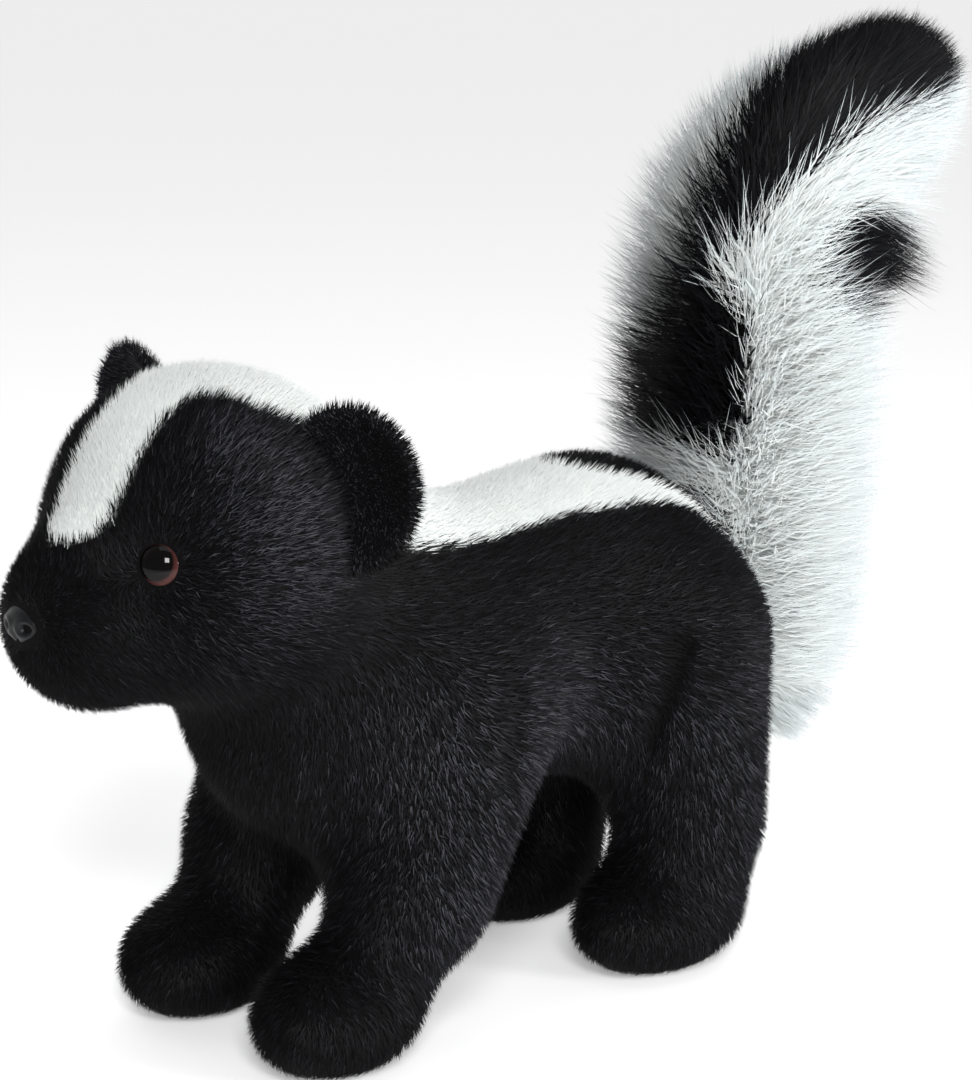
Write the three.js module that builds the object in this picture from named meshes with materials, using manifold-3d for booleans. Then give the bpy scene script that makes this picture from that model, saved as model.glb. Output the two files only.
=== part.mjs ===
// A plush toy skunk, standing on four short legs with its bushy tail raised. Millimetres, +Z up.
// The toy faces -Y, its left side is +X, and the origin is under the middle of its bounding box.
//
// The head, neck, torso and legs are one smooth stuffed form, written as a distance field of rounded
// shapes that melt into each other. The form is meshed once and parted by thin cuts. Ears, eyes, nose
// and tail are closed shapes of their own, trimmed to lie against the form. The tail carries the locks
// of its long pile.
import * as THREE from "three";
import { mergeVertices } from "three/addons/utils/BufferGeometryUtils.js";
import Module from "manifold-3d";

const wasm = await Module();
wasm.setup();
const { Vector3, Matrix4, Quaternion, Euler } = THREE;

// Driving dimensions. The paws reach a little below zero, where the floor presses them flat.
const GAP = 0.3; // clearance between touching nodes
const CELL = 6.6; // mesh cell of the stuffed form
const WELD = 1e-3; // points closer than this are one
const WELD_PASSES = 4; // each pass can bring a few more points together

const HEAD = {
  skull: { centre: [0, -70.5, 140], radii: [43, 36, 36] },
  cheek: { centre: [22, -75.5, 121.5], radii: [21, 26, 21] },
  muzzle: { from: [0, -85.5, 124.5], to: [0, -103.5, 119], fromRadius: 29.5, toRadius: 23 },
  blend: 14,
};
const NECK = { from: [0, -58, 130], to: [0, -26, 104], fromRadius: 34, toRadius: 36, blend: 14 };
const TORSO = {
  chest: { centre: [0, -31, 92], radii: [40, 41.5, 45] },
  waist: { centre: [0, 16, 94], radii: [38, 48, 40] },
  rump: { centre: [0, 56, 97], radii: [38, 41, 42] },
  blend: 18,
};
const FRONT_LEG = {
  shoulder: [28, -12, 84],
  wrist: [30.5, -32, 42],
  shoulderRadius: 24,
  wristRadius: 21.5,
  paw: { centre: [28, -54, 14.5], radii: [19, 24.5, 17.5] },
  blend: 14,
};
const HIND_LEG = {
  shoulder: [25, 64, 90],
  wrist: [29, 70, 40],
  shoulderRadius: 29,
  wristRadius: 21.5,
  paw: { centre: [28.5, 59, 14.5], radii: [19.5, 28.5, 17.5] },
  blend: 12,
};
const LEG_TO_BODY_BLEND = 16;

const HEAD_CUT = { through: [0, -50, 119], tilt: 40.5 }; // the seam between head and neck, seen from the side
const NECK_LENGTH = 13; // between the head's seam and the torso's, which are parallel
const LEG_CUT = { tilt: 30, inner: 3, frontThrough: [27, -24, 66], hindThrough: [27, 58, 66] };

const EAR = {
  // The middle of each rim's circle, and its turn about the upright, which faces the hollow forwards
  // and outwards. The right ear sits a little higher and faces further forwards.
  left: { at: [42.5, -61.5, 151], turn: 204 },
  right: { at: [-43, -62.5, 156], turn: 172 },
  radius: 19,
  height: 1.1, // upright over sideways
  cup: 7, // depth of the hollow
  thickness: 6.5,
  steps: 5, // from the middle to the rim
  sides: 18,
};
const EYE = { near: [25, -104.5, 135.5], radius: 6, bulge: 3.2, sunk: 1 };
const NOSE = {
  centre: [0, -123.5, 120.5],
  radii: [8, 5.5, 6],
  nostril: { centre: [3.2, -128.5, 121], radius: 1.6 },
};

const TAIL = {
  // Each station gives the middle of the tail, and its half width and half thickness out to the tips
  // of the pile, from the hanging lower end up behind the rump and back over at the top.
  stations: [
    { at: [0, 112, 51], width: 25, thick: 16 },
    { at: [0, 117, 68], width: 35, thick: 24 },
    { at: [0, 119, 90], width: 41, thick: 28 },
    { at: [0, 120, 115], width: 43, thick: 28 },
    { at: [0, 122, 143], width: 45, thick: 29 },
    { at: [0, 123, 172], width: 45, thick: 29 },
    { at: [0, 129, 198], width: 45, thick: 30 },
    { at: [0, 146, 217], width: 43, thick: 31 },
    { at: [0, 166, 231], width: 37, thick: 28 },
    { at: [0, 179, 240], width: 26, thick: 19 },
    { at: [0, 188, 246], width: 8, thick: 6 },
  ],
  root: { centre: [0, 102, 102], radii: [18, 21, 24] }, // where the tail is sewn to the rump
  core: { from: 0.08, to: 0.9, reach: 0.5, rings: 9, sides: 12 }, // under the locks
};
const LOCKS = {
  parting: 0.2, // below this share of the tail's length the pile hangs down, and above it it rises
  hangingRows: 3,
  risingRows: 8,
  rowGap: 24, // between neighbours in a row, at the tips
  width: 29,
  thickness: 4.2,
  sunk: 0.7, // of the way from the middle to the core's surface
  sweep: 0.14, // how far the pile leans along the tail, as a share of its length
  stray: 0.07, // how far a tip stands in or out of the outline, as a share of the way from the middle
  seed: 7,
};

// Distance fields

/** Distance to an ellipsoid, close near its surface. */
function ellipsoid(p, { centre, radii }) {
  const q = [0, 1, 2].map((k) => (p[k] - centre[k]) / radii[k]);
  const level = Math.hypot(...q);
  const slope = Math.hypot(q[0] / radii[0], q[1] / radii[1], q[2] / radii[2]);
  return slope < 1e-9 ? -Math.min(...radii) : (level * (level - 1)) / slope;
}

/** Distance to a cone with round ends, from a with radius ra to b with radius rb. */
function roundCone(p, a, b, ra, rb) {
  const along = b.map((v, k) => v - a[k]);
  const from = p.map((v, k) => v - a[k]);
  const length2 = along.reduce((sum, v) => sum + v * v, 0);
  const share = from.reduce((sum, v, k) => sum + v * along[k], 0) / length2;
  const t = Math.min(1, Math.max(0, share));
  return Math.hypot(...from.map((v, k) => v - along[k] * t)) - (ra + (rb - ra) * t);
}

/** Smooth union of two distances, rounded over the width k. */
function melt(a, b, k) {
  const h = Math.max(k - Math.abs(a - b), 0) / k;
  return Math.min(a, b) - (h * h * k) / 4;
}

function headField(p) {
  const mirrored = [Math.abs(p[0]), p[1], p[2]];
  const m = HEAD.muzzle;
  const skull = ellipsoid(p, HEAD.skull);
  const cheek = ellipsoid(mirrored, HEAD.cheek);
  const muzzle = roundCone(p, m.from, m.to, m.fromRadius, m.toRadius);
  return melt(melt(skull, cheek, HEAD.blend), muzzle, HEAD.blend);
}

function torsoField(p) {
  const front = melt(ellipsoid(p, TORSO.chest), ellipsoid(p, TORSO.waist), TORSO.blend);
  return melt(front, ellipsoid(p, TORSO.rump), TORSO.blend);
}

function legField(p, leg) {
  const mirrored = [Math.abs(p[0]), p[1], p[2]];
  const limb = roundCone(mirrored, leg.shoulder, leg.wrist, leg.shoulderRadius, leg.wristRadius);
  return melt(limb, ellipsoid(mirrored, leg.paw), leg.blend);
}

/** The whole stuffed form: head, neck, torso and legs. */
function formField(p) {
  const neck = roundCone(p, NECK.from, NECK.to, NECK.fromRadius, NECK.toRadius);
  const body = melt(melt(torsoField(p), neck, NECK.blend), headField(p), NECK.blend);
  const legs = Math.min(legField(p, FRONT_LEG), legField(p, HIND_LEG));
  return melt(body, legs, LEG_TO_BODY_BLEND);
}

// Meshing and joining

/** A closed mesh of a field's zero level: one vertex in each grid cell that the surface crosses. */
function surfaceNet(field, low, high, cell) {
  const count = low.map((v, k) => Math.ceil((high[k] - v) / cell) + 1);
  const at = (i, j, k) => (k * count[1] + j) * count[0] + i;
  const value = new Float64Array(count[0] * count[1] * count[2]);
  const point = (i, j, k) => [low[0] + i * cell, low[1] + j * cell, low[2] + k * cell];
  for (let k = 0; k < count[2]; k++)
    for (let j = 0; j < count[1]; j++)
      for (let i = 0; i < count[0]; i++) value[at(i, j, k)] = field(point(i, j, k));

  const positions = [];
  const vertexOf = new Map();
  for (let k = 0; k < count[2] - 1; k++)
    for (let j = 0; j < count[1] - 1; j++)
      for (let i = 0; i < count[0] - 1; i++) {
        const mean = cellCrossing(value, at, i, j, k);
        if (!mean) continue;
        vertexOf.set(at(i, j, k), positions.length / 3);
        const rough = point(i + mean[0], j + mean[1], k + mean[2]);
        positions.push(...ontoSurface(field, rough));
      }

  const index = [];
  const steps = [at(1, 0, 0), at(0, 1, 0), at(0, 0, 1)];
  for (let k = 1; k < count[2] - 1; k++)
    for (let j = 1; j < count[1] - 1; j++)
      for (let i = 1; i < count[0] - 1; i++)
        for (let axis = 0; axis < 3; axis++) {
          const here = at(i, j, k);
          const inside = value[here] < 0;
          if (inside === value[here + steps[axis]] < 0) continue;
          const [u, v] = [steps[(axis + 1) % 3], steps[(axis + 2) % 3]];
          const corners = [here - u - v, here - v, here, here - u].map((c) => vertexOf.get(c));
          if (!inside) corners.reverse();
          index.push(...splitQuad(corners, positions));
        }
  return solidFrom(positions, index);
}

/** The mean of the points where a grid cell's edges cross the surface, or null if none does. */
function cellCrossing(value, at, i, j, k) {
  const mean = [0, 0, 0];
  let crossings = 0;
  for (let corner = 0; corner < 8; corner++)
    for (let axis = 0; axis < 3; axis++) {
      if (corner & (1 << axis)) continue;
      const a = [corner & 1, (corner >> 1) & 1, corner >> 2];
      const b = a.map((v, n) => (n === axis ? 1 : v));
      const va = value[at(i + a[0], j + a[1], k + a[2])];
      const vb = value[at(i + b[0], j + b[1], k + b[2])];
      if (va < 0 === vb < 0) continue;
      const t = va / (va - vb);
      for (let n = 0; n < 3; n++) mean[n] += a[n] + (b[n] - a[n]) * t;
      crossings++;
    }
  return crossings ? mean.map((v) => v / crossings) : null;
}

/** The direction and rate at which a field grows at a point. */
function slopeOf(field, p) {
  const step = 0.05;
  const here = field(p);
  const rate = (n) => (field(p.map((v, m) => (m === n ? v + step : v))) - here) / step;
  return new Vector3(rate(0), rate(1), rate(2));
}

/** Two steps down the field's slope, which bring a nearby point onto its zero level. */
function ontoSurface(field, start) {
  const p = new Vector3(...start);
  for (let turn = 0; turn < 2; turn++) {
    const slope = slopeOf(field, p.toArray());
    p.addScaledVector(slope, -field(p.toArray()) / Math.max(0.25, slope.lengthSq()));
  }
  return p.toArray();
}

/** A quad as two triangles, split along its shorter diagonal. */
function splitQuad([a, b, c, d], positions) {
  const corner = (n) => new Vector3().fromArray(positions, 3 * n);
  const alongAC = corner(a).distanceTo(corner(c)) <= corner(b).distanceTo(corner(d));
  return alongAC ? [a, b, c, a, c, d] : [a, b, d, b, c, d];
}

function solidFrom(positions, index) {
  const mesh = new wasm.Mesh({
    numProp: 3,
    vertProperties: new Float32Array(positions),
    triVerts: new Uint32Array(index),
  });
  return new wasm.Manifold(mesh);
}

/** A closed three.js geometry, put in place by a matrix, as a solid. */
function solidOf(geometry, matrix = new Matrix4()) {
  const bare = geometry.clone().applyMatrix4(matrix);
  bare.deleteAttribute("normal");
  bare.deleteAttribute("uv");
  const merged = mergeVertices(bare, WELD);
  return solidFrom(merged.attributes.position.array, merged.index.array);
}

function geometryOf(solid) {
  const mesh = solid.getMesh();
  const geometry = new THREE.BufferGeometry();
  geometry.setAttribute("position", new THREE.BufferAttribute(mesh.vertProperties, 3));
  geometry.setIndex(new THREE.BufferAttribute(mesh.triVerts, 1));
  geometry.computeVertexNormals();
  return geometry;
}

/** The same solid with each vertex moved out along its normal. */
function grown(solid, distance) {
  const geometry = geometryOf(solid);
  const position = geometry.attributes.position;
  const normal = geometry.attributes.normal;
  for (let n = 0; n < position.array.length; n++) position.array[n] += normal.array[n] * distance;
  return solidFrom(position.array, geometry.index.array);
}

/** The largest closed surface of a solid, once its nearly equal points are one. Loose scraps go. */
function largest(solid) {
  let body = solid;
  for (let pass = 0; pass < WELD_PASSES; pass++) {
    const bodies = solidOf(geometryOf(body)).decompose();
    body = bodies.reduce((a, b) => (b.volume() > a.volume() ? b : a));
  }
  return body;
}

const placed = (position, turn = [0, 0, 0], scale = [1, 1, 1]) =>
  new Matrix4().compose(
    new Vector3(...position),
    new Quaternion().setFromEuler(new Euler(...turn.map(THREE.MathUtils.degToRad), "ZYX")),
    new Vector3(...scale),
  );

const block = (size, position, turn) => solidOf(new THREE.BoxGeometry(...size), placed(position, turn));

const mirroredPoint = ([x, y, z], side) => [x * side, y, z];

// The stuffed form and its cuts

const LOW = [-75, -145, -20];
const HIGH = [75, 115, 195];
const floorBlock = block([200, 400, 100], [0, 0, -50]);
const form = surfaceNet(formField, LOW, HIGH, CELL).subtract(floorBlock);

const BIG = 400;

/** A large block whose top face passes through a point, tilted about X and then about Y. */
function halfSpace(through, turn, lift = 0) {
  const matrix = placed(through, turn).multiply(placed([0, 0, lift - BIG / 2]));
  return solidOf(new THREE.BoxGeometry(BIG, BIG, BIG), matrix);
}

const belowHeadCut = (lift) => halfSpace(HEAD_CUT.through, [HEAD_CUT.tilt, 0, 0], lift);
const head = largest(form.subtract(belowHeadCut(GAP)));
const belowHead = form.intersect(belowHeadCut(0));
const neck = largest(belowHead.subtract(belowHeadCut(-NECK_LENGTH + GAP)));
const belowNeck = belowHead.intersect(belowHeadCut(-NECK_LENGTH));

/** The space of one leg: under a tilted plane, on one side, in front of or behind the middle. */
function legSpace(side, atFront, room) {
  const through = mirroredPoint(atFront ? LEG_CUT.frontThrough : LEG_CUT.hindThrough, side);
  const under = halfSpace(through, [0, -LEG_CUT.tilt * side, 0], room);
  const width = BIG / 4;
  const sideways = side * (width / 2 + LEG_CUT.inner - room);
  const middle = 16;
  const lengthways = middle + (atFront ? -1 : 1) * (width / 2);
  return under.intersect(block([width, width, BIG], [sideways, lengthways, 0]));
}

const LEGS = [
  { name: "leg_front_left", side: 1, atFront: true },
  { name: "leg_front_right", side: -1, atFront: true },
  { name: "leg_hind_left", side: 1, atFront: false },
  { name: "leg_hind_right", side: -1, atFront: false },
];
const legs = LEGS.map(({ name, side, atFront }) => ({
  name,
  solid: largest(belowNeck.intersect(legSpace(side, atFront, 0))),
}));
const torso = largest(LEGS.reduce((rest, l) => rest.subtract(legSpace(l.side, l.atFront, GAP)), belowNeck));
const formWithRoom = grown(form, GAP);

// Ears, eyes and nose

/** A thick round bowl with a rounded rim, its hollow towards +Y. */
function earBowl() {
  const { radius, cup, thickness, steps, sides } = EAR;
  const inner = [];
  const outer = [];
  for (let n = 0; n <= steps; n++) {
    const share = n / steps;
    const middle = cup * (share ** 2 - 1);
    const half = (thickness / 2) * Math.sqrt(1 - share ** 6);
    inner.push(new THREE.Vector2(radius * share, middle + half));
    outer.push(new THREE.Vector2(radius * share, middle - half));
  }
  return new THREE.LatheGeometry([...outer.slice(0, steps), ...inner.reverse()], sides);
}

function ear(side) {
  const { at, turn } = side > 0 ? EAR.left : EAR.right;
  const bowl = solidOf(earBowl(), placed(at, [0, 0, turn], [1, 1, EAR.height]));
  return largest(bowl.subtract(formWithRoom));
}

/** A flattened ball, set on the head's surface where it is nearest to the eye's place. */
function eye(side) {
  const near = ontoSurface(headField, mirroredPoint(EYE.near, side));
  const out = slopeOf(headField, near).normalize();
  const middle = new Vector3(...near).addScaledVector(out, -EYE.sunk);
  const turn = new Quaternion().setFromUnitVectors(new Vector3(0, 1, 0), out);
  const size = new Vector3(EYE.radius, EYE.bulge, EYE.radius);
  const ball = new THREE.SphereGeometry(1, 18, 10);
  return largest(solidOf(ball, new Matrix4().compose(middle, turn, size)).subtract(formWithRoom));
}

/** A small rounded nose with two round nostrils. */
function nose() {
  const whole = solidOf(new THREE.SphereGeometry(1, 14, 10), placed(NOSE.centre, [0, 0, 0], NOSE.radii));
  const { centre, radius } = NOSE.nostril;
  const nostril = (side) =>
    solidOf(new THREE.SphereGeometry(radius, 8, 6), placed(mirroredPoint(centre, side)));
  return largest(whole.subtract(formWithRoom).subtract(nostril(1)).subtract(nostril(-1)));
}

// Tail

const spine = new THREE.CatmullRomCurve3(TAIL.stations.map((s) => new Vector3(...s.at)));
const girth = new THREE.CatmullRomCurve3(TAIL.stations.map((s) => new Vector3(s.width, s.thick, 0)));

/** A point round the tail, at a share t of its length, at an angle, and at a share of the way to the tips. */
function tailPoint(t, angle, reach) {
  const size = girth.getPoint(t).multiplyScalar(reach);
  const side = new Vector3(1, 0, 0);
  const front = new Vector3().crossVectors(spine.getTangent(t), side);
  const sideways = side.multiplyScalar(size.x * Math.cos(angle));
  const forwards = front.multiplyScalar(size.y * Math.sin(angle));
  return spine.getPoint(t).add(sideways).add(forwards);
}

/** A closed skin over rings of points, with a pole at each end. */
function skinOf(rings, firstPole, lastPole) {
  const sides = rings[0].length;
  const positions = [firstPole, ...rings.flat(), lastPole].flatMap((p) => p.toArray());
  const endRing = 1 + (rings.length - 1) * sides;
  const end = endRing + sides;
  const index = [];
  for (let k = 0; k < sides; k++) {
    const next = (k + 1) % sides;
    index.push(0, 1 + next, 1 + k);
    index.push(end, endRing + k, endRing + next);
    for (let r = 1; r < endRing; r += sides) {
      index.push(r + k, r + next, r + sides + next, r + k, r + sides + next, r + sides + k);
    }
  }
  return solidFrom(positions, index);
}

/** The filled part of the tail, under the pile. */
function tailCore() {
  const { from, to, reach, rings, sides } = TAIL.core;
  const ringAt = (t) =>
    Array.from({ length: sides }, (_, k) => tailPoint(t, (2 * Math.PI * k) / sides, reach));
  const core = Array.from({ length: rings + 1 }, (_, r) => ringAt(THREE.MathUtils.lerp(from, to, r / rings)));
  const pole = (t, way) => {
    const bulge = girth.getPoint(t).y * reach * 0.8;
    return spine.getPoint(t).addScaledVector(spine.getTangent(t), way * bulge);
  };
  return skinOf(core, pole(from, -1), pole(to, 1));
}

/** A repeatable source of random numbers from 0 to 1. */
function seededRandom(seed) {
  let state = seed;
  return () => {
    state = (state + 0x6d2b79f5) | 0;
    let mixed = Math.imul(state ^ (state >>> 15), 1 | state);
    mixed = (mixed + Math.imul(mixed ^ (mixed >>> 7), 61 | mixed)) ^ mixed;
    return ((mixed ^ (mixed >>> 14)) >>> 0) / 4294967296;
  };
}

/** One flat lock that bends from its root to its pointed tip, thickest a third of the way along. */
function lock(root, bend, tip, width, thickness) {
  const path = new THREE.QuadraticBezierCurve3(root, bend, tip);
  const across = new Vector3().crossVectors(tip.clone().sub(root), bend.clone().sub(root)).normalize();
  const ringAt = (t, share) => {
    const middle = path.getPoint(t);
    const up = new Vector3().crossVectors(across, path.getTangent(t));
    const corner = (wide, high) => {
      const sideways = across.clone().multiplyScalar(wide * width * share);
      return middle.clone().add(sideways).addScaledVector(up, high * thickness * share);
    };
    return [corner(-0.5, -0.3), corner(0, 0.7), corner(0.5, -0.3)];
  };
  return skinOf([ringAt(0.02, 0.4), ringAt(0.5, 1), ringAt(0.82, 0.62)], root, tip);
}

/** The shares of the tail's length where the rows of locks are rooted, and which way each row leans. */
function lockRows() {
  const { parting, hangingRows, risingRows } = LOCKS;
  const hanging = Array.from({ length: hangingRows }, (_, n) => {
    return { at: THREE.MathUtils.lerp(TAIL.core.from, parting, n / (hangingRows - 1)), lean: -1 };
  });
  const rising = Array.from({ length: risingRows }, (_, n) => {
    return { at: THREE.MathUtils.lerp(parting, TAIL.core.to, n / (risingRows - 1)), lean: 1 };
  });
  return [...hanging, ...rising];
}

/** The pile's locks, in rows round the tail, each leaning along it and out to the tail's outline. */
function tailLocks() {
  const random = seededRandom(LOCKS.seed);
  const vary = (most) => (random() * 2 - 1) * most;
  const clampShare = (t) => THREE.MathUtils.clamp(t, 0, 1);
  return lockRows().flatMap(({ at, lean }, row) => {
    const size = girth.getPoint(at);
    const rim = Math.PI * (size.x + size.y);
    const count = Math.max(5, Math.round(rim / LOCKS.rowGap));
    return Array.from({ length: count }, (_, k) => {
      const angle = (2 * Math.PI * (k + 0.5 * (row % 2) + vary(0.2))) / count;
      const end = clampShare(at + lean * LOCKS.sweep * (1 + vary(0.25)));
      const reach = 1 + vary(LOCKS.stray);
      const root = tailPoint(at, angle, TAIL.core.reach * LOCKS.sunk);
      const bend = tailPoint(THREE.MathUtils.lerp(at, end, 0.25), angle, reach * 0.9);
      const tip = tailPoint(end, angle + vary(0.12), reach);
      return lock(root, bend, tip, LOCKS.width * (1 + vary(0.15)), LOCKS.thickness);
    });
  });
}

const rootPlace = placed(TAIL.root.centre, [0, 0, 0], TAIL.root.radii);
const tailRoot = solidOf(new THREE.SphereGeometry(1, 16, 10), rootPlace);
const pile = wasm.Manifold.union([tailCore(), tailRoot, ...tailLocks()]);
const tail = largest(pile.subtract(formWithRoom));

// The toy

const PLUSH = { color: 0x101013, roughness: 0.95, metalness: 0 };
const PILE = { color: 0xe9efee, roughness: 0.95, metalness: 0 };
const EYE_PLASTIC = { color: 0x0b0908, roughness: 0.12, metalness: 0 };
const NOSE_PLASTIC = { color: 0x1c1f21, roughness: 0.45, metalness: 0 };

const pieces = [
  ["head", head, PLUSH],
  ["neck", neck, PLUSH],
  ["torso", torso, PLUSH],
  ...legs.map(({ name, solid }) => [name, solid, PLUSH]),
  ["ear_left", ear(1), PLUSH],
  ["ear_right", ear(-1), PLUSH],
  ["eye_left", eye(1), EYE_PLASTIC],
  ["eye_right", eye(-1), EYE_PLASTIC],
  ["nose", nose(), NOSE_PLASTIC],
  ["tail", tail, PILE],
];

// The box's middle goes over the origin.
const boxes = pieces.map(([, solid]) => solid.boundingBox());
const middle = [0, 1].map((k) => {
  const low = Math.min(...boxes.map((box) => box.min[k]));
  const high = Math.max(...boxes.map((box) => box.max[k]));
  return (low + high) / 2;
});

const toy = new THREE.Group();
for (const [name, solid, finish] of pieces) {
  const centred = largest(solid.translate([-middle[0], -middle[1], 0]));
  const mesh = new THREE.Mesh(geometryOf(centred), new THREE.MeshStandardMaterial(finish));
  mesh.name = name;
  toy.add(mesh);
}

export default toy;
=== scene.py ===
"""A plush toy skunk: its stuffed skin, short pile, long-haired tail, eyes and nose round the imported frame.

One skin is made from the frame's flesh and the tail's core. Short tufts cover it, and long locks and hair
grow from the core. The skin and the tufts take their black and white from the same functions.
"""

import math

import bmesh
import bpy
import numpy as np
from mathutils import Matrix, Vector
from mathutils.bvhtree import BVHTree


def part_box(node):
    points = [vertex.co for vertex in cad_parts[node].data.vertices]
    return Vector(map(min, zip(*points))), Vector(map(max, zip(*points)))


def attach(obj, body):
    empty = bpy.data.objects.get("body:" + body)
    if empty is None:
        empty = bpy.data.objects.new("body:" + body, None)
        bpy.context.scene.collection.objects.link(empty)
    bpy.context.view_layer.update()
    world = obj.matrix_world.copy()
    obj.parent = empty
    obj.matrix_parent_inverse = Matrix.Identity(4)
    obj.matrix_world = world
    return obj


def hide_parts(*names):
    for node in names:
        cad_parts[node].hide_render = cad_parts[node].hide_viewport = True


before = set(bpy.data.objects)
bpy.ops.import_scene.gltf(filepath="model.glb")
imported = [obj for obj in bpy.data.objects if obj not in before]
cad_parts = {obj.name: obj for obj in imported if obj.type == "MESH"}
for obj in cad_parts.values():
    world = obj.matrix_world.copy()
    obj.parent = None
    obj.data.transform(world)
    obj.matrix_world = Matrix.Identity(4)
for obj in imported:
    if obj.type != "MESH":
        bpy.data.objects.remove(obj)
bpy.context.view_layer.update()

MM = 0.001
SEED = 11

# Places are in millimetres from the middle of the toy's length, as the part's own sizes are
NOSE_TIP_Y = -129.0
DATUM_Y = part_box("nose")[0].y / MM - NOSE_TIP_Y

# The flesh that one skin covers
FLESH = ["head", "neck", "torso", "leg_front_left", "leg_front_right", "leg_hind_left", "leg_hind_right"]
VOXEL = 2.2
GAP_CLOSED = 0.45
SMOOTH_PASSES = 8
SOLE_CLEARANCE = 0.8
PILE_DEPTH = 1.7
FACE_DEPTH = 0.9
FACE_CENTRE = (0, -117.5, 123)
FACE_FROM, FACE_REACH = 12, 34

# The tail's middle line, its half width and half thickness out to the tips of the hair
TAIL_STATIONS = np.array([
    [112, 51, 25, 16],
    [117, 68, 35, 24],
    [119, 90, 41, 28],
    [120, 115, 43, 28],
    [122, 143, 45, 29],
    [123, 172, 45, 29],
    [129, 198, 45, 30],
    [146, 217, 43, 31],
    [166.5, 229, 37, 27],
    [180, 236.5, 26, 19],
    [190, 241, 8, 6],
], float)
TAIL_ROOT = {"centre": (0, 102, 102), "radii": (18, 21, 24)}
# The core under the long hair, as shares of the tail's length and of the way out to the tips
CORE_FROM, CORE_TO, CORE_REACH = 0.08, 0.955, 0.5
CORE_DOME = 0.06
ROOT_REACH = CORE_REACH * 0.9


def framed(points):
    """Points in millimetres from the datum, as metres in the frame."""
    return (np.asarray(points, float) + (0, DATUM_Y, 0)) * MM


def datum(points):
    """Points in metres in the frame, as millimetres from the datum."""
    return np.asarray(points, float) / MM - (0, DATUM_Y, 0)


def unit(vectors):
    return vectors / np.maximum(np.linalg.norm(vectors, axis=-1, keepdims=True), 1e-9)


def step(low, high, x):
    """A smooth step from 0 at low to 1 at high."""
    t = np.clip((x - low) / (high - low), 0, 1)
    return t * t * (3 - 2 * t)


def mesh_arrays(mesh):
    """A mesh's vertices, its triangles' corners and their loops."""
    mesh.calc_loop_triangles()
    co = np.empty(len(mesh.vertices) * 3, np.float32)
    mesh.vertices.foreach_get("co", co)
    corners = np.empty(len(mesh.loop_triangles) * 3, np.int32)
    mesh.loop_triangles.foreach_get("vertices", corners)
    loops = np.empty(len(mesh.loop_triangles) * 3, np.int32)
    mesh.loop_triangles.foreach_get("loops", loops)
    return co.reshape(-1, 3).astype(float), corners.reshape(-1, 3), loops.reshape(-1, 3)


def vertex_normals(co, corners):
    face = np.cross(co[corners[:, 1]] - co[corners[:, 0]], co[corners[:, 2]] - co[corners[:, 0]])
    total = np.zeros_like(co)
    for k in range(3):
        np.add.at(total, corners[:, k], face)
    return unit(total)


def mesh_object(name, vertices, faces):
    """A mesh object from metres in the frame, with smooth faces."""
    mesh = bpy.data.meshes.new(name)
    mesh.from_pydata(np.asarray(vertices, float).tolist(), [], [list(map(int, f)) for f in faces])
    mesh.shade_smooth()
    made = bpy.data.objects.new(name, mesh)
    bpy.context.scene.collection.objects.link(made)
    return made


def applied(source, name):
    """A new object with the source's modifiers applied; the source goes."""
    graph = bpy.context.evaluated_depsgraph_get()
    mesh = bpy.data.meshes.new_from_object(source.evaluated_get(graph))
    mesh.name = name
    bpy.data.objects.remove(source)
    made = bpy.data.objects.new(name, mesh)
    bpy.context.scene.collection.objects.link(made)
    return made


# The tail's shape


def tail_at(t):
    """The tail's middle line, direction, rearward side, half width and half thickness at the shares t."""
    def row(x):
        spans = len(TAIL_STATIONS) - 1
        s = np.clip(x, 0, 1) * spans
        i = np.minimum(s.astype(int), spans - 1)
        f = (s - i)[:, None]
        a, b, c, d = (TAIL_STATIONS[np.clip(i + k, 0, spans)] for k in (-1, 0, 1, 2))
        square, cube = 2 * a - 5 * b + 4 * c - d, 3 * b - a - 3 * c + d
        return 0.5 * (2 * b + (c - a) * f + square * f**2 + cube * f**3)

    t = np.asarray(t, float)
    here = row(t)
    nudge = 1e-3
    along = unit(row(np.clip(t + nudge, 0, 1))[:, :2] - row(np.clip(t - nudge, 0, 1))[:, :2])
    zero = np.zeros(len(t))
    middle = np.stack([zero, here[:, 0], here[:, 1]], 1)
    tangent = np.stack([zero, along[:, 0], along[:, 1]], 1)
    rear = np.stack([zero, along[:, 1], -along[:, 0]], 1)
    return middle, tangent, rear, here[:, 2], here[:, 3]


def tail_point(t, angle, reach):
    """A place round the tail, at a share of the way from its middle line out to the tips."""
    middle, _, rear, width, thick = tail_at(t)
    wide = np.array([1.0, 0, 0]) * (width * reach * np.cos(angle))[:, None]
    return middle + wide + rear * (thick * reach * np.sin(angle))[:, None]


def tail_core(rings=44, sides=28):
    """A closed tube under the long hair, with domed ends."""
    shares = np.linspace(CORE_FROM, CORE_TO, rings)
    turns = np.linspace(0, 2 * np.pi, sides, endpoint=False)
    edge = np.minimum((shares - CORE_FROM), (CORE_TO - shares)) / CORE_DOME
    swell = np.sqrt(np.clip(1 - (1 - np.clip(edge, 0.02, 1)) ** 2, 0, 1))
    points = np.concatenate([
        tail_point(np.full(sides, t), turns, CORE_REACH * s) for t, s in zip(shares, swell)])
    faces = []
    for r in range(rings - 1):
        for k in range(sides):
            n = (k + 1) % sides
            faces.append([r * sides + k, r * sides + n, (r + 1) * sides + n, (r + 1) * sides + k])
    faces.append(list(range(sides))[::-1])
    faces.append([(rings - 1) * sides + k for k in range(sides)])
    return points, faces


# The skin


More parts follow.
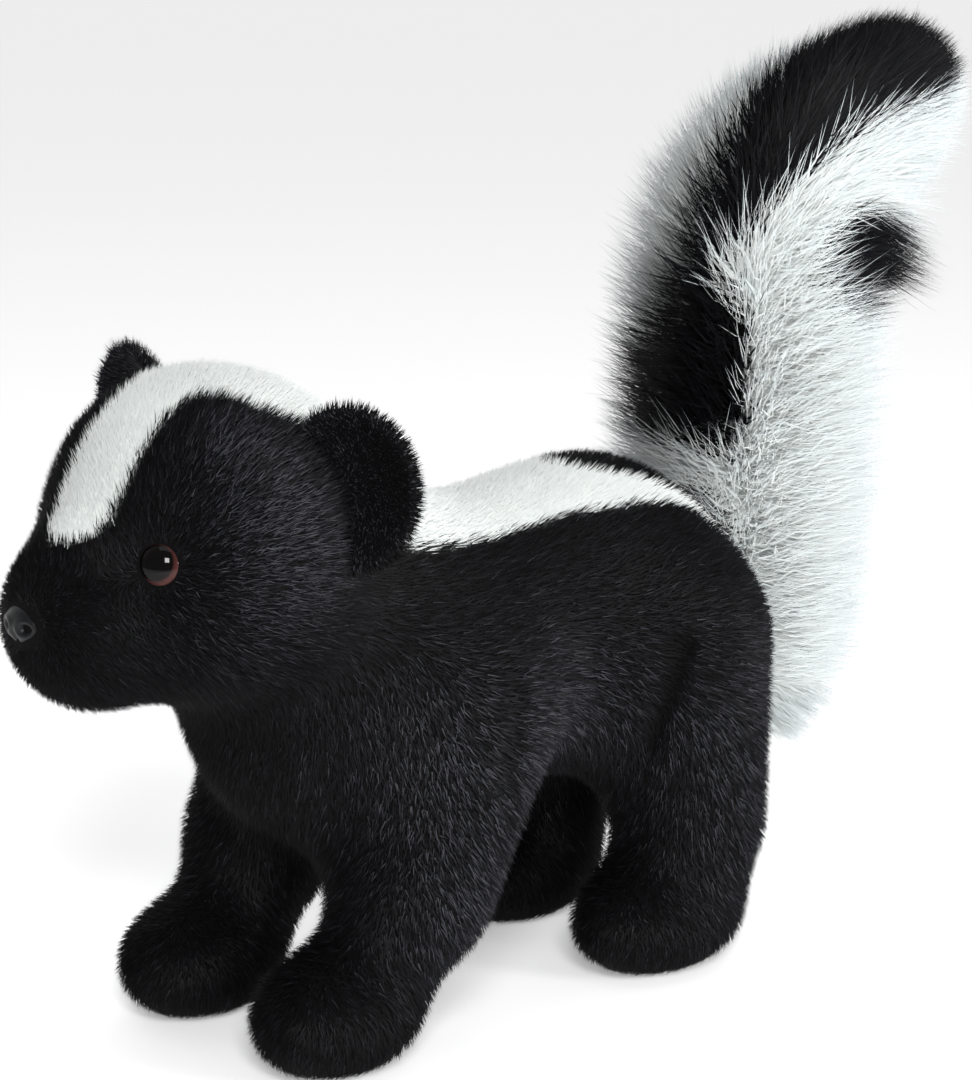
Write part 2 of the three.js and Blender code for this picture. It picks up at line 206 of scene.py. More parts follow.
def ball(centre, radii, around=32, down=20):
    """The points and faces of an ellipsoid."""
    points = [(0, 0, 1)]
    for r in range(1, down):
        polar = math.pi * r / down
        for k in range(around):
            turn = 2 * math.pi * k / around
            out = math.sin(polar)
            points.append((out * math.cos(turn), out * math.sin(turn), math.cos(polar)))
    points.append((0, 0, -1))
    faces = []
    for k in range(around):
        n = (k + 1) % around
        faces.append([0, 1 + k, 1 + n])
        for r in range(down - 2):
            a, b = 1 + r * around, 1 + (r + 1) * around
            faces.append([a + k, b + k, b + n, a + n])
        last = 1 + (down - 2) * around
        faces.append([last + n, last + k, len(points) - 1])
    return np.array(points) * radii + centre, faces


def joined_shapes(name, shapes):
    """One object of several closed shapes, in metres."""
    points, faces, base = [], [], 0
    for co, polygons in shapes:
        points.append(co)
        faces += [[base + v for v in polygon] for polygon in polygons]
        base += len(co)
    return mesh_object(name, np.concatenate(points), faces)


def grown_copy(node, by):
    """A CAD node's shape, grown a little so that the thin cuts close."""
    co, corners, _ = mesh_arrays(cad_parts[node].data)
    merged, index = np.unique(co.round(6), axis=0, return_inverse=True)
    corners = index.reshape(-1)[corners]
    return merged + vertex_normals(merged, corners) * by * MM, corners.tolist()


def remeshed(source, name, voxel, passes):
    remesh = source.modifiers.new("remesh", "REMESH")
    remesh.mode = "VOXEL"
    remesh.voxel_size = voxel * MM
    smooth = source.modifiers.new("smooth", "SMOOTH")
    smooth.factor = 0.5
    smooth.iterations = passes
    return applied(source, name)


def pile_depth(p):
    """How far the skin lies under the tips of the pile."""
    near = np.linalg.norm(p - np.array(FACE_CENTRE), axis=1)
    return FACE_DEPTH + (PILE_DEPTH - FACE_DEPTH) * step(FACE_FROM, FACE_REACH, near)


# Folds of the cloth in front of the thigh and behind the shoulder, alike on both sides. The short pile in
# them is also painted darker, a painted shade.
CREASES = [
    {"path": [(49, 47, 95), (45, 44, 80), (40, 43, 66)], "depth": 2.4, "spread": 3.2},
    {"path": [(50, -13, 100), (52, -15, 90), (52, -18, 72)], "depth": 1.2, "spread": 3.0},
]


def near_path(p, path):
    """The distance from each point to a line through a few points."""
    best = np.full(len(p), 1e9)
    for a, b in zip(path[:-1], path[1:]):
        a, b = np.array(a, float), np.array(b, float)
        t = np.clip((p - a) @ (b - a) / ((b - a) @ (b - a)), 0, 1)
        best = np.minimum(best, np.linalg.norm(p - a - t[:, None] * (b - a), axis=1))
    return best


def mirrored(p):
    """The same places, all on the left side."""
    return np.concatenate([np.abs(p[:, :1]), p[:, 1:]], 1)


def crease_depth(p):
    q = mirrored(p)
    total = np.zeros(len(p))
    for crease in CREASES:
        total += crease["depth"] * np.exp(-((near_path(q, crease["path"]) / crease["spread"]) ** 2))
    return total


def skin_shape():
    """The stuffed skin with the tail's core, sunk under the body's short pile."""
    core_points, core_faces = tail_core()
    root_points, root_faces = ball(TAIL_ROOT["centre"], TAIL_ROOT["radii"])
    shapes = [grown_copy(node, GAP_CLOSED) for node in FLESH]
    shapes.append((framed(core_points), core_faces))
    shapes.append((framed(root_points), root_faces))
    whole = remeshed(joined_shapes("skin_source", shapes), "skin", VOXEL, SMOOTH_PASSES)
    co, corners, _ = mesh_arrays(whole.data)
    normal = vertex_normals(co, corners)
    p = datum(co)
    on_tail = tail_share(p)
    inward = (pile_depth(p) + crease_depth(p)) * (1 - on_tail)
    co -= normal * inward[:, None] * MM
    co[:, 2] = np.maximum(co[:, 2], SOLE_CLEARANCE * MM)
    whole.data.vertices.foreach_set("co", co.astype(np.float32).ravel())
    whole.data.update()
    return whole


def tail_share(p):
    """1 on the tail's core, 0 on the body."""
    return step(98, 108, p[:, 1] + 0.15 * (p[:, 2] - 100))


# Markings, shared by the skin and the coat


def table_of(rows):
    return np.array(rows, float).T


# The white cape from the forehead to the rump: its half width and its lowest level along the toy
CAPE_HALF_WIDTH = table_of([
    (-115.2, 0), (-114.2, 3.5), (-112.8, 6), (-110.5, 8.4), (-106.5, 10.2), (-101, 11), (-95, 11),
    (-88, 10.5), (-82, 12.5), (-77, 18), (-72, 25), (-66, 29), (-60, 31), (-50, 33), (-45, 33), (-29, 31),
    (-16, 28), (9, 21), (31, 21), (43, 23.5), (56, 24.5), (75, 25.5), (96, 26),
])
CAPE_FLOOR = table_of([(-113, 130), (-60, 134), (-48, 127), (-38, 118), (-20, 112), (90, 108), (110, 90)])
CAPE_START = (-116.2, -114.8)
# The black sliver that parts the cape into two stripes before the tail
SLIVER_HALF_WIDTH = table_of([
    (44, -3), (47, 6), (50, 10), (55, 13.5), (62, 16.5), (70, 18), (85, 18), (100, 17)])
SLIVER_START = (43, 45)
# The blaze on the forehead sits a little to the left
BLAZE_OFFSET = 1.4
EDGE = 1.2
FLOOR_EDGE = 2


def body_white(p):
    """How white the short pile is at each place: the blaze, the nape and the two stripes of the back."""
    across = np.abs(p[:, 0] - BLAZE_OFFSET * step(-78, -92, p[:, 1]))
    cape = step(EDGE, -EDGE, across - np.interp(p[:, 1], *CAPE_HALF_WIDTH))
    cape *= step(-FLOOR_EDGE, FLOOR_EDGE, p[:, 2] - np.interp(p[:, 1], *CAPE_FLOOR))
    cape *= step(*CAPE_START, p[:, 1])
    sliver = step(EDGE, -EDGE, across - np.interp(p[:, 1], *SLIVER_HALF_WIDTH))
    sliver *= step(*SLIVER_START, p[:, 1])
    return cape * (1 - sliver)


# The tail's black band: how far it reaches round from the front, in degrees, on each side
BAND_FROM = 0.395
BAND_EDGE = table_of([(0.0, 0), (0.26, 22), (0.38, 26), (0.43, 31), (0.48, 33), (0.53, 27), (0.555, 10),
                      (0.575, 5), (0.585, 13), (0.60, 24), (0.62, 32), (0.66, 46), (0.69, 55), (0.74, 68),
                      (0.80, 86), (0.88, 100), (0.93, 130), (0.96, 180), (1, 180)])
FAR_BAND_EDGE = table_of([(0.0, 0), (0.28, 50), (0.36, 68), (0.42, 80), (0.48, 62), (0.54, 30), (0.60, 14),
                          (0.68, 12), (0.76, 20), (0.86, 44), (0.92, 90), (0.96, 180), (1, 180)])
# The black tuft on the left behind the bend: shares of the tail's length and degrees round it
UNDER_TUFT = {"from": 0.53, "to": 0.69, "side": 46, "half_angle": 58}


def tail_white(t, angle):
    """How white the long hair is: black are a band up the side that faces forwards, the tip and a tuft."""
    turn = np.degrees((angle + np.pi / 2 + np.pi) % (2 * np.pi) - np.pi)
    near = np.interp(t, *BAND_EDGE)
    far = np.interp(t, *FAR_BAND_EDGE)
    band = np.where(turn > 0, turn < near, -turn < far) & (t > BAND_FROM)
    return np.where(band | (under_tuft(t, angle) > 0), 0.0, 1.0)


def under_tuft(t, angle):
    """How far inside the black tuft behind the tail's bend a place is, below 0 outside it."""
    round_it = np.abs((np.degrees(angle) - UNDER_TUFT["side"] + 180) % 360 - 180)
    middle = (UNDER_TUFT["from"] + UNDER_TUFT["to"]) / 2
    half = (UNDER_TUFT["to"] - UNDER_TUFT["from"]) / 2
    return 1 - ((t - middle) / half) ** 2 - (round_it / UNDER_TUFT["half_angle"]) ** 2


# The lie of the pile

NOSE_PLACE = np.array([0, -125.5, 121.5])


def eye_frame(node):
    """The eye's middle and the way it looks, from the flattest direction of its dome."""
    co, _, _ = mesh_arrays(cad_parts[node].data)
    p = datum(co)
    middle = (p.min(0) + p.max(0)) / 2
    _, _, axes = np.linalg.svd(p - p.mean(0))
    look = axes[2] * np.sign(axes[2] @ (middle - np.array([0, -75, 130])))
    return middle, look


EYES = {side: eye_frame("eye_" + side) for side in ("left", "right")}


def lie_of(p, normal):
    """The way the pile lies at each place, along the surface."""
    down = np.array([0, 0.12, -1.0])
    back = np.array([0, 1.0, -0.2])
    limb = step(88, 60, p[:, 2])[:, None]
    flow = back * (1 - limb) + down * limb
    chest = (step(-8, -40, p[:, 1]) * step(118, 96, p[:, 2]))[:, None]
    flow = flow * (1 - chest) + down * chest
    from_nose = unit(p - NOSE_PLACE)
    face = (step(-40, -62, p[:, 1] + 0.5 * (130 - p[:, 2]).clip(0)))[:, None]
    flow = flow * (1 - face) + from_nose * face
    for middle, _ in EYES.values():
        away = p - middle
        far = np.linalg.norm(away, axis=1, keepdims=True)
        flow = flow + 1.6 * unit(away) * np.exp(-((far / 17) ** 2))
    toes = step(24, 8, p[:, 2])[:, None]
    flow = flow * (1 - 0.5 * toes) + np.array([0, -0.6, -0.5]) * toes * 0.5
    flow = flow - normal * (flow * normal).sum(1, keepdims=True)
    return unit(flow + 1e-6)


# Tufts


def scattered(rng, co, corners, loops, uv, density, weight):
    """Places on the skin, spread by area and weight: points, normals and map coordinates."""
    a, b, c = (co[corners[:, k]] for k in range(3))
    area = np.linalg.norm(np.cross(b - a, c - a), axis=1) / 2 * weight
    running = np.cumsum(area) * density
    count = int(running[-1])
    picks = np.searchsorted(running, np.arange(count) + rng.random(count))
    picks = np.minimum(picks, len(corners) - 1)
    u, v = rng.random(count), rng.random(count)
    flip = u + v > 1
    u[flip], v[flip] = 1 - u[flip], 1 - v[flip]
    shares = np.stack([1 - u - v, u, v], 1)[:, :, None]
    normals = vertex_normals(co, corners)
    point = (co[corners[picks]] * shares).sum(1)
    normal = unit((normals[corners[picks]] * shares).sum(1))
    place = (uv[loops[picks]] * shares).sum(1)
    return point, normal, place


TUFT_FLATNESS = 0.55
TUFT_BLUNTNESS = 0.75
TUFT_ROUNDNESS = 0.5
TUFT_PATCH = 0.0015
TUFT_LEAN = 0.35


def tuft_piece(name, root, lie, normal, length, width, rise, droop, place, white, shade, sideways, rings,
               lean=TUFT_LEAN):
    """Closed, tapered, bent tufts of three sides as one mesh object.

    A tuft leaves its root at the angle rise and ends at the angle droop from the skin, bent a little
    sideways. Its shading normal leans back from its lie.
    """
    count = len(root)
    across = unit(np.cross(normal, lie))
    shares = np.arange(rings) / rings
    points = np.empty((count, rings * 3 + 1, 3))
    along = np.empty((count, rings * 3 + 1), np.float32)
    sin0, cos0, sin1, cos1 = np.sin(rise), np.cos(rise), np.sin(droop), np.cos(droop)

    def centre(t):
        up = sin0 * t + 0.5 * (sin1 - sin0) * t * t
        on = cos0 * t + 0.5 * (cos1 - cos0) * t * t
        return root + length[:, None] * (
            normal * up[:, None] + lie * on[:, None] + across * (sideways * t * t)[:, None])

    for k, t in enumerate(shares):
        angle = rise + (droop - rise) * t
        above = unit(normal * np.cos(angle)[:, None] - lie * np.sin(angle)[:, None])
        half = (width * (1 - t) ** TUFT_BLUNTNESS / 2)[:, None]
        middle = centre(np.full(count, t))
        third = above * half * TUFT_FLATNESS * 0.6
        points[:, 3 * k] = middle - across * half - third
        points[:, 3 * k + 1] = middle + across * half - third
        points[:, 3 * k + 2] = middle + 2 * third
        along[:, 3 * k:3 * k + 3] = t
    points[:, -1] = centre(np.ones(count))
    along[:, -1] = 1

    quads = []
    for k in range(rings - 1):
        for j in range(3):
            n = (j + 1) % 3
            quads.append([3 * k + j, 3 * k + n, 3 * k + 3 + n, 3 * k + 3 + j])
    tip, last = rings * 3, 3 * (rings - 1)
    triangles = [[2, 1, 0]] + [[last + j, last + (j + 1) % 3, tip] for j in range(3)]
    per = rings * 3 + 1
    base = (np.arange(count) * per)[:, None]
    quad_corners = (base[:, :, None] + np.array(quads)).reshape(-1)
    triangle_corners = (base[:, :, None] + np.array(triangles)).reshape(-1)
    corner = np.concatenate([quad_corners, triangle_corners]).astype(np.int32)
    sizes = np.repeat([4, 3], [count * len(quads), count * len(triangles)]).astype(np.int32)
    starts = np.concatenate([[0], np.cumsum(sizes)[:-1]])

    mesh = bpy.data.meshes.new(name)
    mesh.vertices.add(count * per)
    mesh.vertices.foreach_set("co", points.astype(np.float32).ravel())
    mesh.loops.add(len(corner))
    mesh.loops.foreach_set("vertex_index", corner)
    mesh.polygons.add(len(sizes))
    mesh.polygons.foreach_set("loop_start", starts.astype(np.int32))
    mesh.polygons.foreach_set("loop_total", sizes)
    mesh.update(calc_edges=True)
    mesh.shade_smooth()
    tilt = np.broadcast_to(lean, count)[:, None]
    own = np.repeat(unit(normal - tilt * lie), per, axis=0).reshape(count, per, 3)
    spread = np.zeros((per, 1))
    spread[0:per - 1:3], spread[1:per - 1:3] = -1, 1
    bulge = across[:, None, :] * spread[None] * TUFT_ROUNDNESS
    soft_normals(mesh, unit(own + bulge).reshape(-1, 3))
    tuft_attribute(mesh, "white", np.repeat(white, per))
    tuft_attribute(mesh, "shade", np.repeat(shade, per))
    tuft_attribute(mesh, "along", along.ravel())
    local = np.stack([np.tile([-1, 1, 0], rings + 1)[:per], 2 * along[0] - 1], 1) * TUFT_PATCH
    spot = (place[:, None, :] + local[None]).reshape(-1, 2)
    layer = mesh.uv_layers.new(name="OFBake")
    layer.data.foreach_set("uv", spot[corner].astype(np.float32).ravel())
    made = bpy.data.objects.new(name, mesh)
    bpy.context.scene.collection.objects.link(made)
    return made


def soft_normals(mesh, directions):
    """Shading normals that follow the skin, so that the pile shades as one soft surface."""
    layer = mesh.attributes.new("custom_normal", "FLOAT_VECTOR", "POINT")
    layer.data.foreach_set("vector", directions.astype(np.float32).ravel())


def tuft_attribute(mesh, name, values):
    layer = mesh.attributes.new(name, "FLOAT", "POINT")
    layer.data.foreach_set("value", np.asarray(values, np.float32))


# Materials


def shader(name):
    """A new material with its node tree and shader."""
    material = bpy.data.materials.new(name)
    material.use_nodes = True
    nodes, links = material.node_tree.nodes, material.node_tree.links
    return material, nodes, links, nodes["Principled BSDF"]


def attribute(nodes, name):
    node = nodes.new("ShaderNodeAttribute")
    node.attribute_name = name
    return node.outputs["Fac"]


def noise(nodes, links, scale, detail=3):
    made = nodes.new("ShaderNodeTexNoise")
    made.inputs["Scale"].default_value = scale
    made.inputs["Detail"].default_value = detail
    links.new(nodes.new("ShaderNodeTexCoord").outputs["Object"], made.inputs["Vector"])
    return made.outputs["Fac"]


def ramp(nodes, links, source, stops):
    """The colours of a few stops, read off by the source."""
    made = nodes.new("ShaderNodeValToRGB")
    elements = made.color_ramp.elements
    for k, (place, colour) in enumerate(stops):
        stop = elements[k] if k < 2 else elements.new(place)
        stop.position = place
        stop.color = (*colour, 1)
    links.new(source, made.inputs["Fac"])
    return made.outputs["Color"]


def mixed(nodes, links, factor, one, other, blend="MIX"):
    made = nodes.new("ShaderNodeMix")
    made.data_type = "RGBA"
    made.blend_type = blend
    for socket, value in ((made.inputs[0], factor), (made.inputs[6], one), (made.inputs[7], other)):
        if isinstance(value, bpy.types.NodeSocket):
            links.new(value, socket)
        else:
            socket.default_value = value
    return made.outputs[2]


def bumped(nodes, links, bsdf, height, strength, distance):
    bump = nodes.new("ShaderNodeBump")
    bump.inputs["Strength"].default_value = strength
    bump.inputs["Distance"].default_value = distance
    links.new(height, bump.inputs["Height"])
    links.new(bump.outputs["Normal"], bsdf.inputs["Normal"])


def finished(material, links, bsdf, colour, roughness, gloss):
    links.new(colour, bsdf.inputs["Base Color"])
    bsdf.inputs["Roughness"].default_value = roughness
    bsdf.inputs["Specular IOR Level"].default_value = gloss
    return material


BLACKS = [(0, (0.0006, 0.0006, 0.0008)), (0.4, (0.0018, 0.0018, 0.0022)), (0.7, (0.012, 0.012, 0.015)),
          (1, (0.066, 0.066, 0.078))]
WHITES = [(0, (0.78, 0.82, 0.81)), (0.6, (0.86, 0.89, 0.87)), (1, (0.92, 0.93, 0.90))]
# Painted shade along each tuft: darker at the root, where the strands shade each other, and cooler and darker
# at the long hair's tips, at the tail's fringe
ROOT_PAINTED_SHADE = (0.86, 0.87, 0.88)
LONG_TIP_PAINTED_SHADE = (0.76, 0.81, 0.86)
PILE_GLOSS = 0.1


def pile_material(name, roughness, tip):
    """Acrylic pile: black and white by the markings, each tuft with its own tone, dimmer at the root by a
    painted shade and multiplied at its end by the colour tip, a cool painted shade on the long hair.
    """
    material, nodes, links, bsdf = shader(name)
    tone = attribute(nodes, "shade")
    black = ramp(nodes, links, tone, BLACKS)
    pale = ramp(nodes, links, tone, WHITES)
    root_and_tip_shade = ramp(nodes, links, attribute(nodes, "along"), [(0, ROOT_PAINTED_SHADE), (0.5, (1, 1, 1)), (1, tip)])
    colour = mixed(nodes, links, attribute(nodes, "white"), black, pale)
    colour = mixed(nodes, links, 1.0, colour, root_and_tip_shade, "MULTIPLY")
    return finished(material, links, bsdf, colour, roughness, PILE_GLOSS)


def backing_material():
    """The cloth under the pile, with the same markings."""
    material, nodes, links, bsdf = shader("pile_backing")
    tone = noise(nodes, links, 900)
    black = ramp(nodes, links, tone, BLACKS[:2])
    pale = ramp(nodes, links, tone, WHITES)
    colour = mixed(nodes, links, attribute(nodes, "white"), black, pale)
    bumped(nodes, links, bsdf, noise(nodes, links, 1400, 2), 0.6, 0.0006)
    return finished(material, links, bsdf, colour, 0.9, PILE_GLOSS)


def eye_material():
    """Glossy plastic: a black pupil, a reddish brown rim and faint streaks."""
    material, nodes, links, bsdf = shader("eye_plastic")
    colour = ramp(nodes, links, attribute(nodes, "rim"), [
        (0, (0.001, 0.001, 0.001)), (0.70, (0.002, 0.001, 0.001)), (0.77, (0.045, 0.014, 0.012)),
        (0.90, (0.080, 0.028, 0.025)), (1, (0.035, 0.012, 0.010))])
    streak = ramp(nodes, links, noise(nodes, links, 700, 4), [(0.3, (0.4, 0.4, 0.4)), (0.7, (1, 1, 1))])
    colour = mixed(nodes, links, 0.35, colour, streak, "MULTIPLY")
    return finished(material, links, bsdf, colour, 0.05, 0.2)


def nose_material():
    """Satin plastic, almost black."""
    material, nodes, links, bsdf = shader("nose_plastic")
    grain = noise(nodes, links, 900, 4)
    colour = ramp(nodes, links, grain, [(0.3, (0.003, 0.0033, 0.004)), (0.7, (0.008, 0.009, 0.010))])
    bumped(nodes, links, bsdf, noise(nodes, links, 2200, 3), 0.25, 0.0003)
    return finished(material, links, bsdf, colour, 0.36, 0.2)


# Making the pieces


def skin_uv(piece):
    """An unwrap of the skin's own shape, as flat islands."""
    for o in bpy.context.selected_objects:
        o.select_set(False)
    bpy.context.view_layer.objects.active = piece
    piece.select_set(True)
    piece.data.uv_layers.new(name="OFBake")
    bpy.ops.object.mode_set(mode="EDIT")
    bpy.ops.mesh.select_all(action="SELECT")
    bpy.ops.uv.smart_project(angle_limit=math.radians(66), island_margin=0.003)
    bpy.ops.object.mode_set(mode="OBJECT")
    piece.select_set(False)
    uv = np.empty(len(piece.data.loops) * 2, np.float32)
    piece.data.uv_layers["OFBake"].data.foreach_get("uv", uv)
    return uv.reshape(-1, 2).astype(float)


skin = skin_shape()
skin.data.shade_smooth()
skin_map = skin_uv(skin)
skin_co, skin_corners, skin_loops = mesh_arrays(skin.data)
skin_p = datum(skin_co)
on_tail = tail_share(skin_p)


def nearest_tail(p):
    """The share along the tail and the angle round it of the nearest place on its middle line."""
    shares = np.linspace(0, 1, 121)
    middle, _, rear, width, thick = tail_at(shares)
    pick = np.linalg.norm(p[:, None, :] - middle[None], axis=2).argmin(1)
    away = p - middle[pick]
    angle = np.arctan2((away * rear[pick]).sum(1) / thick[pick], away[:, 0] / width[pick])
    return shares[pick], angle


tail_t, tail_angle = nearest_tail(skin_p)
skin_white = body_white(skin_p) * (1 - on_tail) + tail_white(tail_t, tail_angle) * on_tail
tuft_attribute(skin.data, "white", skin_white)

SHORT_PILE = pile_material("short_pile", 0.5, (1, 1, 1))
LONG_PILE = pile_material("long_pile", 0.45, LONG_TIP_PAINTED_SHADE)
BACKING = backing_material()
skin.data.materials.append(BACKING)
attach(skin, "root")
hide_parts(*FLESH)

PIECE_LIMIT = 190000
STRAY_BEND = 0.12
BODY_DENSITY, HEAD_DENSITY = 1.7, 3.0
BODY_TUFT, HEAD_TUFT = 0.33, 0.28
EYE_BARE = 5.2
NOSE_BARE = (7.6, 7.5, 5.6)
# Paler strands: partly the pile's own grey strands, mostly a painted sheen where the lamps light the temples,
# cheeks, flanks and legs
STRANDS_AND_PAINTED_SHEEN = 0.75
STRANDS_AND_PAINTED_SHEEN_EVERYWHERE = 0.05
STRANDS_AND_PAINTED_SHEEN_SPOTS = [
    {"at": (41, -76, 139), "reach": 17, "share": 1.0},
    {"at": (30, -84, 162), "reach": 15, "share": 0.7},
    {"at": (38, -88, 116), "reach": 20, "share": 0.45},
    {"at": (46, -30, 78), "reach": 27, "share": 0.8},
    {"at": (44, 16, 80), "reach": 27, "share": 0.75},
    {"at": (48, 74, 70), "reach": 34, "share": 0.7},
    {"at": (52, -26, 36), "reach": 26, "share": 0.7},
    {"at": (48, 78, 26), "reach": 24, "share": 0.5},
]


def pile_piece(name, material, root, lie, normal, length, width, rise, droop, place, white, shade,
               bend, rings, lean=TUFT_LEAN):
    """A piece of the coat from lengths and widths in millimetres, with its material and slot."""
    made = tuft_piece(name, root, lie, normal, length * MM, width * MM, rise, droop, place, white, shade,
                      bend, rings, lean)
    made.data.materials.append(material)
    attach(made, "root")
    return made


def covered(p):
    """True where pile grows, and false round the eyes and the nose."""
    keep = np.ones(len(p), bool)
    for middle, _ in EYES.values():
        keep &= np.linalg.norm(p - middle - (0, EYE_SETBACK, 0), axis=1) > EYE_BARE
    low, high = (datum(np.array(c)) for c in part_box("nose"))
    nose_middle = (low + high) / 2 + (0, 1.5, -0.8)
    return keep & (np.linalg.norm((p - nose_middle) / NOSE_BARE, axis=1) > 1)


def short_coat():
    """The short pile over the body and head, finer and closer on the head and shortest on the face."""
    rng = np.random.default_rng(SEED)
    middle_z = skin_p[skin_corners][:, :, 2].mean(1)
    middle_p = skin_p[skin_corners].mean(1)
    body = (1 - on_tail[skin_corners].mean(1)) * (middle_z > 1.5)
    head = head_share(middle_p)
    parts = (("body", 1 - head, BODY_DENSITY, BODY_TUFT), ("head", head, HEAD_DENSITY, HEAD_TUFT))
    for part, share, density, wide in parts:
        root, normal, place = scattered(
            rng, skin_co, skin_corners, skin_loops, skin_map, density / MM**2, body * share)
        p = datum(root)
        keep = covered(p)
        root, normal, place, p = root[keep], normal[keep], place[keep], p[keep]
        count = len(root)
        lie = lie_of(p, normal)
        across = np.cross(normal, lie)
        stray = rng.normal(0, 0.25, count)[:, None]
        lie = unit(lie + across * stray)
        depth = pile_depth(p)
        length = (depth * 1.2 + 1.3) * rng.uniform(0.72, 1.2, count)
        lift = rng.normal(0, 0.12, count)
        rise = np.clip(1.0 + lift, 0.2, 1.5)
        droop = np.clip(0.55 + lift + rng.normal(0, 0.1, count), 0.05, 1.4)
        rise = (rise + droop) / 2 * (1 - 0.7 * step(9, 3, p[:, 2]))
        width = wide * rng.uniform(0.7, 1.3, count)
        jitter = rng.normal(0, 0.8, (count, 3))
        white = (body_white(p + jitter) > 0.5).astype(float)
        # Each tuft's own tone, raised in the spots of grey strands and painted sheen
        shade = 0.85 * rng.beta(2.4, 3.2, count) + STRANDS_AND_PAINTED_SHEEN * grey_strands_and_painted_sheen(p) * rng.random(count) ** 1.5
        # Painted shade: the strands in the folds are darkened by the folds' depth
        shade = np.clip(shade, 0, 1) * (1 - 0.6 * np.clip(crease_depth(p) / 2.5, 0, 1))
        pieces = max(1, math.ceil(count * 4 / PIECE_LIMIT))
        order = np.argsort(p[:, 1], kind="stable")
        for k, pick in enumerate(np.array_split(order, pieces)):
            pile_piece(f"{part}_pile_{k + 1}", SHORT_PILE, root[pick], lie[pick], normal[pick],
                       length[pick], width[pick], rise[pick], rise[pick], place[pick], white[pick],
                       shade[pick], rng.normal(0, STRAY_BEND, len(pick)), 1)


def head_share(p):
    """1 on the head, 0 behind its seam with the neck."""
    return step(-46, -54, p[:, 1] - 0.55 * (p[:, 2] - 119).clip(-40, 0))


def grey_strands_and_painted_sheen(p):
    """Where more of the pile is painted pale: partly the pile's own grey strands, mostly a painted sheen
    where the lamps light the temples, cheeks, flanks and the legs' outsides.
    """
    q = mirrored(p)
    total = np.full(len(p), STRANDS_AND_PAINTED_SHEEN_EVERYWHERE)
    for spot in STRANDS_AND_PAINTED_SHEEN_SPOTS:
        away = np.linalg.norm(q - np.array(spot["at"]), axis=1) / spot["reach"]
        total += spot["share"] * np.exp(-(away**2))
    return np.clip(total, 0, 1)


# The long hair. Its fullness is the share of the way out to the solids' tips, and its sweep is how far it
# lies along the tail, below 0 towards the hanging end.
TAIL_FROM, TAIL_TO = 0.03, 0.94
TAIL_ARC = 232
TAIL_LEAN = 0.07
SEEN_AHEAD = 0.6
TAIL_FULLNESS = table_of([
    (0, 1.26), (0.5, 1.28), (0.6, 1.12), (0.72, 0.98), (0.8, 0.86), (0.9, 0.74), (1, 0.6)])
TAIL_DROOP = 0.3
TAIL_SWEEP = table_of([(0, -0.45), (0.06, -0.25), (0.14, 0.2), (0.25, 0.6), (0.38, 0.9), (0.5, 1), (1, 1)])
HANGING_SWEEP = 0.25
LEAST_GAP, LEAST_LENGTH = 3.0, 4
STANDING = 1.5
BLACK_TONE = 0.85
TAIL_COATS = [
    {"part": "locks", "count": 7000, "width": 1.5, "length": 0.8},
    {"part": "hair", "count": 42000, "width": 0.40, "length": 1.0},
]
TIP_HAIRS = 3600
TIP_SPREAD = 0.075
TIP_SEEN_AT = 0.97


def lock_shapes(rng, count, share):
    """Locks and hairs all over the tail: roots, lies, outward ways, lengths, angles, colours and places."""
    t = TAIL_FROM + (TAIL_TO - TAIL_FROM) * rng.random(count)
    angle = rng.random(count) * 2 * np.pi
    middle, tangent, _, _, _ = tail_at(t)
    root = tail_point(t, angle, ROOT_REACH)
    outward = unit(tail_point(t, angle, 1.0) - middle)
    hanging = np.clip(2 * under_tuft(t, angle), 0, 1)
    sweep = np.interp(t, *TAIL_SWEEP) * (1 - hanging) - HANGING_SWEEP * hanging
    swept = np.abs(sweep)
    ahead = np.clip(t + TAIL_LEAN * sweep, 0, 1)
    girth = np.linalg.norm(tail_point(ahead, angle, 1.0) - tail_at(ahead)[0], axis=1)
    gap = np.maximum(girth - np.linalg.norm(root - middle, axis=1), LEAST_GAP) * (1 + 0.3 * hanging)
    gap *= np.interp(t, *TAIL_FULLNESS) * (1 + TAIL_DROOP * np.sin(angle) * step(0.5, 0.75, t))
    length = (gap * 1.04 * (1 - swept) + (16 + 0.5 * gap) * swept) * share
    room = np.maximum((1 - t) * TAIL_ARC * 0.75 - 1, LEAST_LENGTH)
    length = np.minimum(length, room) * rng.uniform(0.7, 1.1, count)
    lie = unit(tangent * np.where(sweep < 0, -1, 1)[:, None] + rng.normal(0, 0.14, (count, 3)))
    lie = unit(lie - outward * (lie * outward).sum(1, keepdims=True))
    stand = np.arcsin(np.clip(gap / length, 0.2, 0.98)) * swept + STANDING * (1 - swept)
    rise = np.clip(stand + 0.28 + rng.normal(0, 0.1, count), 0.1, 1.7)
    droop = np.clip(stand - 0.22 + rng.normal(0, 0.16, count), 0.02, 1.6)
    seen = t + SEEN_AHEAD * TAIL_LEAN * np.interp(t, *TAIL_SWEEP)
    white = tail_white(seen + rng.normal(0, 0.006, count), angle + rng.normal(0, 0.05, count))
    shade = rng.beta(2.4, 2.4, count)
    shade[white < 0.5] *= BLACK_TONE
    return root, lie, outward, length, rise, droop, white, shade, t, TUFT_LEAN * swept


